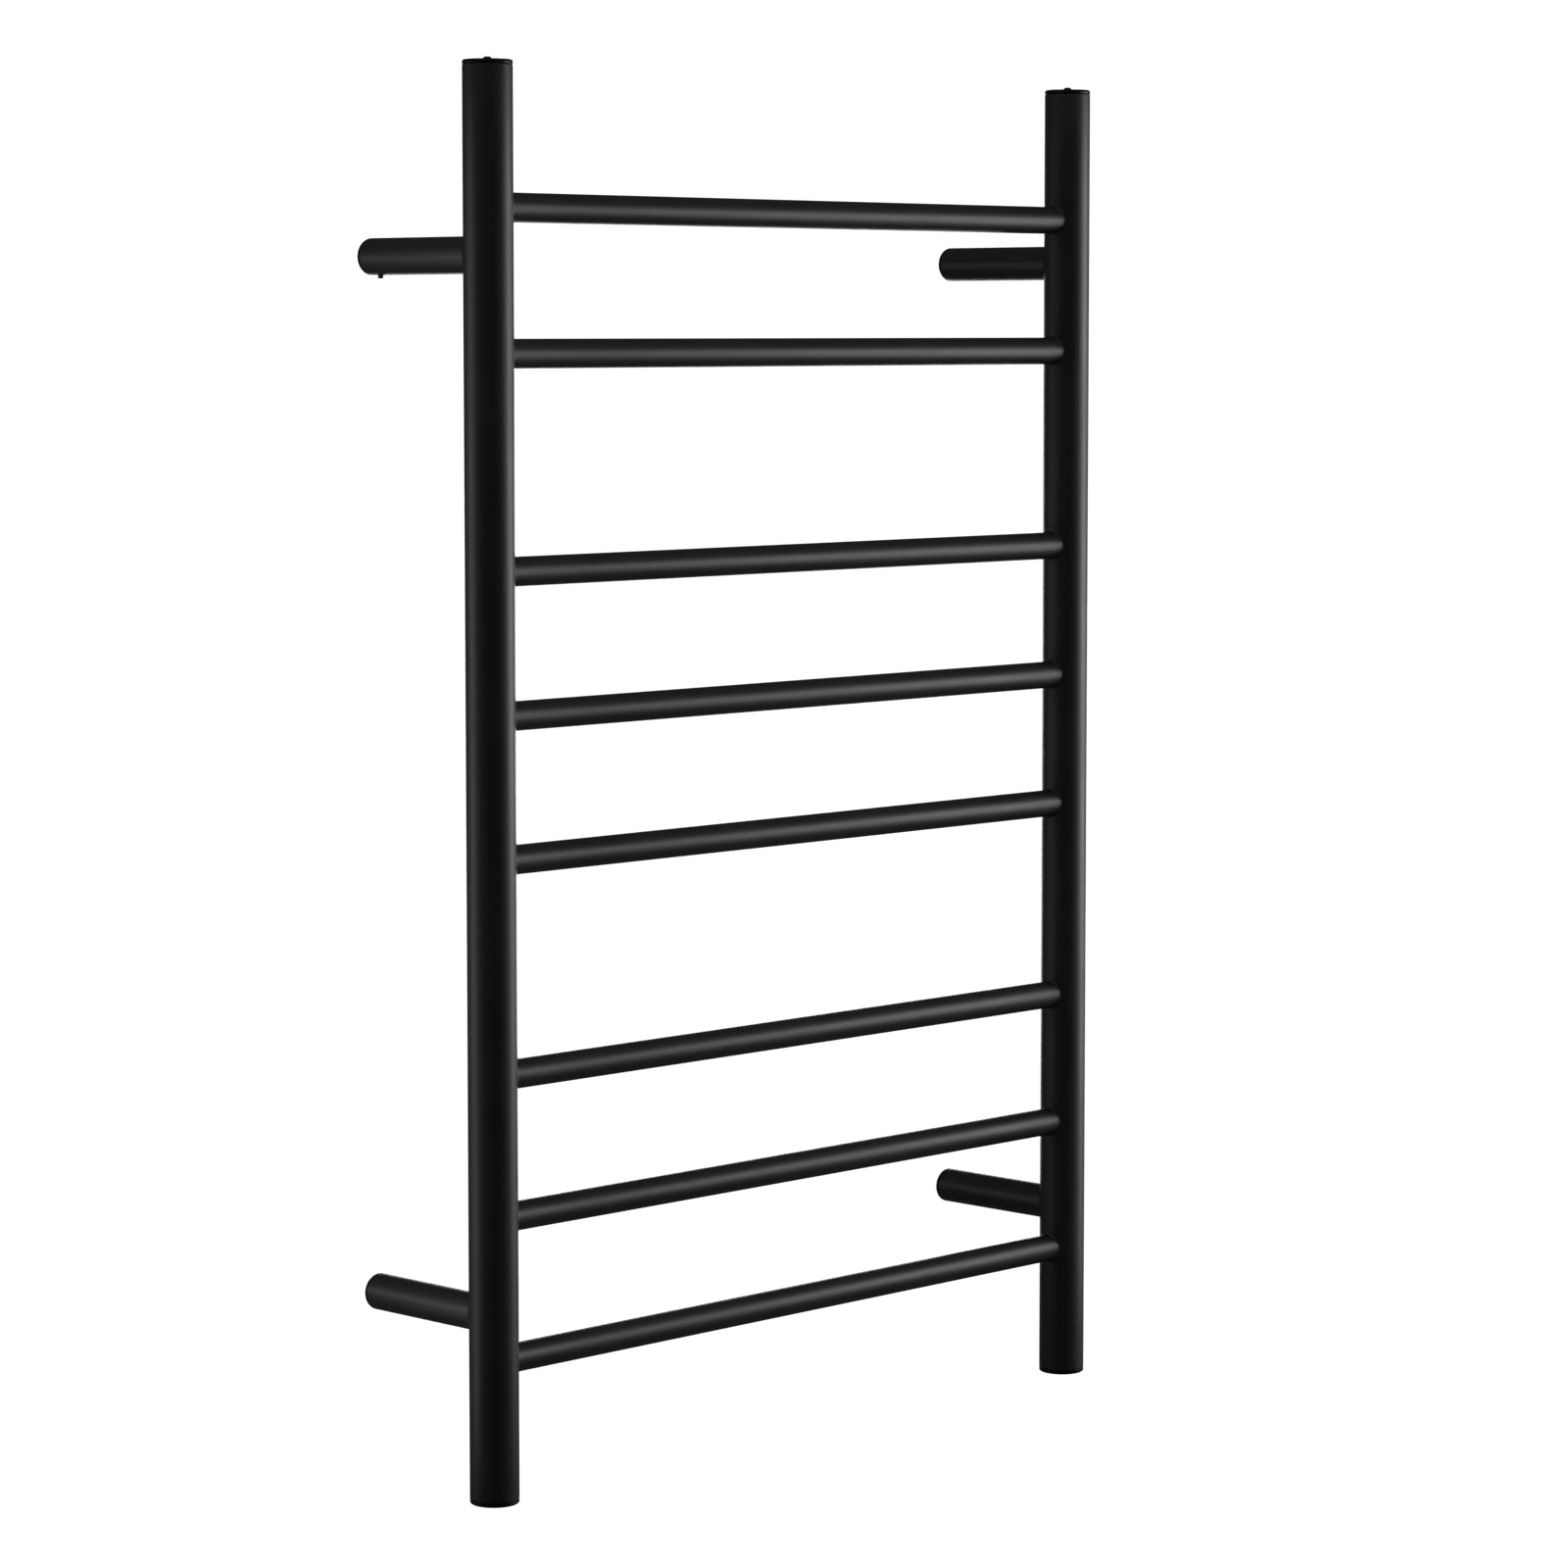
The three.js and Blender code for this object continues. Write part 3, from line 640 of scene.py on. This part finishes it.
def bent(corners, bend, steps=8):
    """The points and directions of a path through corners, with every inner corner rounded."""
    stations = [(corners[0], (corners[1] - corners[0]).normalized())]
    for before, corner, after in zip(corners, corners[1:], corners[2:]):
        coming = (corner - before).normalized()
        going = (after - corner).normalized()
        angle = coming.angle(going)
        reach = bend * math.tan(angle / 2)
        centre = corner + (going - coming).normalized() * bend / math.cos(angle / 2)
        spoke = corner - coming * reach - centre
        for step in range(steps + 1):
            rotation = Matrix.Rotation(angle * step / steps, 3, coming.cross(going))
            stations.append((centre + rotation @ spoke, rotation @ coming))
    stations.append((corners[-1], (corners[-1] - corners[-2]).normalized()))
    return stations


def heating_cable():
    """The cable crosses in each bar, low in its bore, and climbs in the posts, in one upright plane."""
    node = "heating_cable"
    low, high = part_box(node)
    run = high.x - CABLE_RADIUS
    y = middle(node).y
    corners = [Vector((-run, y, low.z))]
    side = -1
    for z in BAR_HEIGHTS:
        corners.append(Vector((side * run, y, z - CABLE_DROP)))
        side = -side
        corners.append(Vector((side * run, y, z - CABLE_DROP)))
    corners.append(Vector((side * run, y, high.z)))
    shell = Shell()
    rings = []
    across = Vector((0, 1, 0))
    for point, direction in bent(corners, CABLE_BEND):
        up = across.cross(direction)
        section = circle(CABLE_RADIUS, 0, 24)
        rings.append(shell.ring([point + across * a + up * b for a, b, _ in section]))
    ends = [shell.ring([corners[0]]), shell.ring([corners[-1]])]
    shell.chain([ends[0], *rings, ends[1]])
    make(node, shell, Matrix.Identity(4), "red_silicone")


# ---------------------------------------------------------------- materials


class Surface:
    """A material whose nodes are added one by one. Its textures lie in the object's own coordinates."""

    def __init__(self, name, **values):
        self.material = bpy.data.materials.new(name)
        self.material.use_nodes = True
        self.tree = self.material.node_tree
        self.shader = self.tree.nodes["Principled BSDF"]
        for socket_name, value in values.items():
            self.shader.inputs[socket_name.replace("_", " ")].default_value = value
        self.place = self.add("ShaderNodeTexCoord").outputs["Object"]

    def add(self, kind, inputs=None, **settings):
        node = self.tree.nodes.new(kind)
        for name, value in settings.items():
            setattr(node, name, value)
        for name, value in (inputs or {}).items():
            if isinstance(value, bpy.types.NodeSocket):
                self.tree.links.new(value, node.inputs[name])
            else:
                node.inputs[name].default_value = value
        return node

    def noise(self, size, detail=2.0, place=None):
        """Noise from 0 to 1 whose marks are about as wide as size."""
        inputs = {"Vector": place or self.place, "Scale": 1 / size, "Detail": detail}
        return self.add("ShaderNodeTexNoise", inputs).outputs[0]

    def cells(self, size):
        inputs = {"Vector": self.place, "Scale": 1 / size}
        return self.add("ShaderNodeTexVoronoi", inputs).outputs["Distance"]

    def stretched(self, scale):
        inputs = {"Vector": self.place, "Scale": scale}
        return self.add("ShaderNodeMapping", inputs).outputs[0]

    def ramp(self, value, low, high, start=0.0, end=1.0):
        inputs = {"Value": value, "From Min": low, "From Max": high, "To Min": start, "To Max": end}
        return self.add("ShaderNodeMapRange", inputs).outputs[0]

    def times(self, one, other):
        return self.add("ShaderNodeMath", {0: one, 1: other}, operation="MULTIPLY").outputs[0]

    def plus(self, one, other):
        return self.add("ShaderNodeMath", {0: one, 1: other}, operation="ADD").outputs[0]

    def wear(self):
        return self.add("ShaderNodeAttribute", attribute_name="wear").outputs["Fac"]

    def blend(self, share, one, other):
        """A colour between two others, each a colour or a socket."""
        node = self.add("ShaderNodeMix", data_type="RGBA")
        factor, first, second = (node.inputs[k] for k in (0, 6, 7))
        for socket_in, value in ((factor, share), (first, one), (second, other)):
            if isinstance(value, bpy.types.NodeSocket):
                self.tree.links.new(value, socket_in)
            else:
                socket_in.default_value = value
        return node.outputs[2]

    def bump(self, height, depth, normal=None):
        inputs = {"Height": height, "Distance": depth, "Strength": 1.0}
        if normal:
            inputs["Normal"] = normal
        return self.add("ShaderNodeBump", inputs).outputs[0]

    def finish(self, color, roughness, normal):
        for name, value in (("Base Color", color), ("Roughness", roughness), ("Normal", normal)):
            self.tree.links.new(value, self.shader.inputs[name])
        return self.material


def grey(value, warmth=0.0):
    return (value * (1 + warmth), value, value * (1 - warmth), 1)


def powder_coat():
    """Matt black powder coat: a fine grain over a slow orange peel, rubbed smoother on the edges."""
    s = Surface("black_powder_coat", Specular_IOR_Level=0.5)
    grain = s.noise(0.45 * MM, 3.0)
    peel = s.noise(2.6 * MM, 1.0)
    cloud = s.noise(55 * MM, 3.0)
    nibs = s.ramp(s.cells(1.1 * MM), 0.16, 0.05)
    rubbed = s.times(s.wear(), s.ramp(s.noise(3 * MM, 4.0), 0.35, 0.65))
    black = s.blend(s.ramp(cloud, 0.35, 0.65), grey(0.0085, -0.05), grey(0.0125, -0.04))
    speckled = s.blend(s.times(s.ramp(grain, 0.45, 0.75), 0.35), black, grey(0.028))
    color = s.blend(s.times(rubbed, 0.6), speckled, grey(0.045, 0.03))
    matt = s.plus(s.ramp(cloud, 0.3, 0.7, 0.44, 0.48), s.ramp(grain, 0.3, 0.7, -0.03, 0.03))
    roughness = s.plus(matt, s.times(rubbed, -0.10))
    relief = s.bump(peel, 0.05 * MM)
    relief = s.bump(grain, 0.045 * MM, relief)
    relief = s.bump(nibs, 0.02 * MM, relief)
    return s.finish(color, roughness, relief)


def lacquer_with_painted_shade():
    """Satin black lacquer with a faint peel, smoother than the powder coat. Its tone and sheen are set
    much darker than the powder coat's as painted shade, for the dark rims of the end caps and wall plugs.
    """
    # Painted shade: the low specular level here and the very dark tones below darken the caps and plugs,
    # standing in for the shade on their rounded rims.
    s = Surface("black_fitting", Specular_IOR_Level=0.18)
    grain = s.noise(0.2 * MM, 3.0)
    peel = s.noise(1.8 * MM, 1.0)
    cloud = s.noise(7 * MM, 3.0)
    rubbed = s.times(s.ramp(s.wear(), 0.4, 1.0), s.ramp(s.noise(2 * MM, 4.0), 0.45, 0.65))
    black = s.blend(s.ramp(cloud, 0.35, 0.65), grey(0.0015, -0.04), grey(0.003, -0.02))
    color = s.blend(s.times(rubbed, 0.4), black, grey(0.03, 0.03))
    satin = s.plus(s.ramp(cloud, 0.3, 0.7, 0.36, 0.44), s.ramp(grain, 0.3, 0.7, -0.03, 0.03))
    relief = s.bump(peel, 0.012 * MM)
    return s.finish(color, s.plus(satin, s.times(rubbed, 0.06)), s.bump(grain, 0.003 * MM, relief))


def black_steel():
    """Blackened steel: satin, with bright specks where the oxide has rubbed through on the edges."""
    s = Surface("black_screw_steel", Metallic=0.85)
    grain = s.noise(0.15 * MM, 3.0)
    patch = s.noise(1.2 * MM, 3.0)
    bare = s.times(s.ramp(s.wear(), 0.3, 1.0), s.ramp(patch, 0.5, 0.68))
    oxide = s.blend(patch, grey(0.018, 0.05), grey(0.05, 0.02))
    color = s.blend(s.times(bare, 0.7), oxide, grey(0.32, 0.02))
    roughness = s.plus(s.ramp(grain, 0.3, 0.7, 0.34, 0.48), s.times(bare, -0.08))
    return s.finish(color, roughness, s.bump(grain, 0.004 * MM))


def plated_steel():
    """Zinc-plated steel with the faint spangle and the fine rolling marks of cut strip."""
    s = Surface("zinc_steel", Metallic=1.0)
    spangle = s.cells(1.6 * MM)
    lines = s.noise(0.25 * MM, 3.0, s.stretched((0.08, 1, 1)))
    color = s.blend(s.ramp(spangle, 0.0, 0.6), grey(0.62, -0.01), grey(0.48, -0.03))
    roughness = s.ramp(lines, 0.3, 0.7, 0.28, 0.42)
    return s.finish(color, roughness, s.bump(lines, 0.004 * MM))


def turned_brass():
    """Brass with turning marks and a little tarnish."""
    s = Surface("brass", Metallic=1.0)
    marks = s.noise(0.12 * MM, 2.0, s.stretched((1, 0.1, 1)))
    tarnish = s.noise(1.5 * MM, 3.0)
    color = s.blend(s.ramp(tarnish, 0.4, 0.7), (0.72, 0.53, 0.22, 1), (0.45, 0.30, 0.12, 1))
    return s.finish(color, s.ramp(marks, 0.3, 0.7, 0.25, 0.4), s.bump(marks, 0.003 * MM))


# Each plastic or rubber: its paler and its deeper tone, its roughness and the size of its grain.
POLYMERS = {
    "black_rubber": (grey(0.022), grey(0.012), 0.75, 0.4 * MM),
    "red_silicone": ((0.40, 0.075, 0.045, 1), (0.30, 0.05, 0.03, 1), 0.55, 0.3 * MM),
    "white_nylon": ((0.74, 0.72, 0.66, 1), (0.66, 0.63, 0.56, 1), 0.5, 0.35 * MM),
    "green_lead": ((0.20, 0.45, 0.07, 1), (0.14, 0.34, 0.05, 1), 0.42, 0.25 * MM),
    "brown_lead": ((0.19, 0.085, 0.04, 1), (0.12, 0.05, 0.025, 1), 0.42, 0.25 * MM),
    "blue_lead": ((0.05, 0.15, 0.45, 1), (0.03, 0.10, 0.33, 1), 0.42, 0.25 * MM),
}


def soft_polymer(name, pale, deep, roughness, grain_size):
    """A moulded or extruded plastic or rubber: two near tones, a fine grain and a dull sheen."""
    s = Surface(name)
    grain = s.noise(grain_size, 3.0)
    cloud = s.noise(8 * MM, 3.0)
    color = s.blend(s.ramp(cloud, 0.35, 0.65), deep, pale)
    fine = s.ramp(grain, 0.3, 0.7, roughness - 0.05, roughness + 0.05)
    coarse = s.ramp(cloud, 0.3, 0.7, -0.03, 0.03)
    return s.finish(color, s.plus(fine, coarse), s.bump(grain, 0.01 * MM))


def make_materials():
    return {
        "black_powder_coat": powder_coat(),
        # The caps' and plugs' material is darkened as painted shade on their rims.
        "black_fitting": lacquer_with_painted_shade(),
        "black_screw_steel": black_steel(),
        "zinc_steel": plated_steel(),
        "brass": turned_brass(),
        **{name: soft_polymer(name, *finish) for name, finish in POLYMERS.items()},
    }


# The inner pieces keep their CAD shapes, and take these finishes.
INNER = {
    "zinc_steel": ["earth_lug", "earth_screw", *(f"cap_bridge_{place}" for place in PLACES)],
    "brass": ["terminal_screw_live", "terminal_screw_neutral", "terminal_screw_earth"],
    "white_nylon": ["terminal_block", "thermal_limiter"],
    "red_silicone": ["cable_joint", "cable_end_seal"],
    "green_lead": ["earth_lead"],
    "brown_lead": ["live_lead", "limiter_lead"],
    "blue_lead": ["neutral_lead"],
}


def finish_inner_pieces():
    for slot, nodes in INNER.items():
        for node in nodes:
            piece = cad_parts[node]
            piece.data.materials.clear()
            piece.data.materials.append(MATERIALS[slot])


# ---------------------------------------------------------------- studio

FLOOR_Z = -1.2
FLOOR_HALF = 8.0
BACKDROP_STRENGTH = 1.1
ROOM_COLOR = (0.065, 0.065, 0.072, 1)
CARD_COLOR = (0.99, 0.99, 1.02)

CAMERA_PLACE = (-2.3135, -2.3741, 0.2923)
CAMERA_YAW = 45.537  # degrees from +Y towards +X
CAMERA_PITCH = -4.863  # degrees, up from level
CAMERA_LENS = 110.38  # millimetres
CAMERA_SHIFT = -0.03  # of the picture's width

# Each card: where its middle is, the point that it faces, its width and height, and its watts.
CARDS = {
    "key_high": ((2.04, -1.38, 0.35), (0, -0.11, 0.2), (1.3, 0.7), 17.8),
    "key_low": ((2.18, -1.12, -0.3), (0, -0.11, 0), (1.0, 0.5), 11.8),
    "left_strip": ((-0.48, 0.04, -0.02), (0, -0.11, 0), (0.08, 0.94), 0.37),
    "back_left": ((-1.56, 1.45, 0.05), (0, -0.11, 0.1), (0.4, 0.4), 1.8),
    "back_low": ((-0.87, 0.64, -0.28), (0, -0.11, -0.28), (0.15, 0.15), 0.2),
    "back_wide": ((1.76, 1.65, -0.25), (0, -0.11, 0), (2.0, 0.8), 33),
    "left_fill": ((-1.38, -0.11, 2.2), (0, -0.11, 0), (1.0, 1.0), 6),
    "front_fill": ((0, -1.41, 2.25), (0, -0.11, 0), (1.0, 1.0), 5),
}


def make_camera():
    data = bpy.data.cameras.new("camera")
    data.lens = CAMERA_LENS
    data.shift_y = CAMERA_SHIFT
    camera = bpy.data.objects.new("camera", data)
    camera.location = CAMERA_PLACE
    camera.rotation_euler = (math.radians(90 + CAMERA_PITCH), 0, math.radians(-CAMERA_YAW))
    bpy.context.scene.collection.objects.link(camera)
    bpy.context.scene.camera = camera


def make_card(name, place, aim, size, power):
    """A soft light card that faces a point of the rack, with its sides upright."""
    data = bpy.data.lights.new(name, "AREA")
    data.shape = "RECTANGLE"
    data.size, data.size_y = size
    data.energy = power
    data.color = CARD_COLOR
    card = bpy.data.objects.new(name, data)
    card.location = place
    card.rotation_euler = (Vector(aim) - Vector(place)).to_track_quat("-Z", "Y").to_euler()
    card.visible_camera = False
    bpy.context.scene.collection.objects.link(card)


def make_world():
    """White behind the rack, and a dim grey room for what the rack reflects."""
    world = bpy.data.worlds.new("studio")
    world.use_nodes = True
    nodes, links = world.node_tree.nodes, world.node_tree.links
    room = nodes["Background"]
    room.inputs["Color"].default_value = ROOM_COLOR
    white = nodes.new("ShaderNodeBackground")
    white.inputs["Strength"].default_value = BACKDROP_STRENGTH
    white.inputs["Color"].default_value = grey(1.0)
    seen = nodes.new("ShaderNodeLightPath")
    mix = nodes.new("ShaderNodeMixShader")
    links.new(seen.outputs["Is Camera Ray"], mix.inputs[0])
    links.new(room.outputs[0], mix.inputs[1])
    links.new(white.outputs[0], mix.inputs[2])
    links.new(mix.outputs[0], nodes["World Output"].inputs["Surface"])
    bpy.context.scene.world = world


def make_floor():
    """A plain floor as pale as the room behind, which neither lights the rack nor shows in it."""
    square = ((-1, -1), (1, -1), (1, 1), (-1, 1))
    corners = [(x * FLOOR_HALF, y * FLOOR_HALF, FLOOR_Z) for x, y in square]
    mesh = bpy.data.meshes.new("floor")
    mesh.from_pydata(corners, [], [(0, 1, 2, 3)])
    floor = bpy.data.objects.new("floor", mesh)
    pale = bpy.data.materials.new("floor")
    pale.use_nodes = True
    shader = pale.node_tree.nodes["Principled BSDF"]
    shader.inputs["Base Color"].default_value = grey(0.9)
    shader.inputs["Roughness"].default_value = 0.9
    shader.inputs["Emission Color"].default_value = grey(1.0)
    shader.inputs["Emission Strength"].default_value = 1.0
    mesh.materials.append(pale)
    floor.visible_diffuse = False
    floor.visible_glossy = False
    bpy.context.scene.collection.objects.link(floor)


# ---------------------------------------------------------------- the rack

MATERIALS = make_materials()
make_camera()
make_world()
make_floor()
for card_name, card in CARDS.items():
    make_card(card_name, *card)
bpy.context.scene.view_settings.view_transform = "Standard"

for rack_side in SIDES:
    post(rack_side)
for rack_bar in BARS:
    bar(rack_bar)
for rack_place in PLACES:
    standoff(rack_place)
    wall_plug(rack_place)
    grub_screw(rack_place)
    end_cap(rack_place)
    cap_screw(rack_place)
grommet()
heating_cable()
finish_inner_pieces()
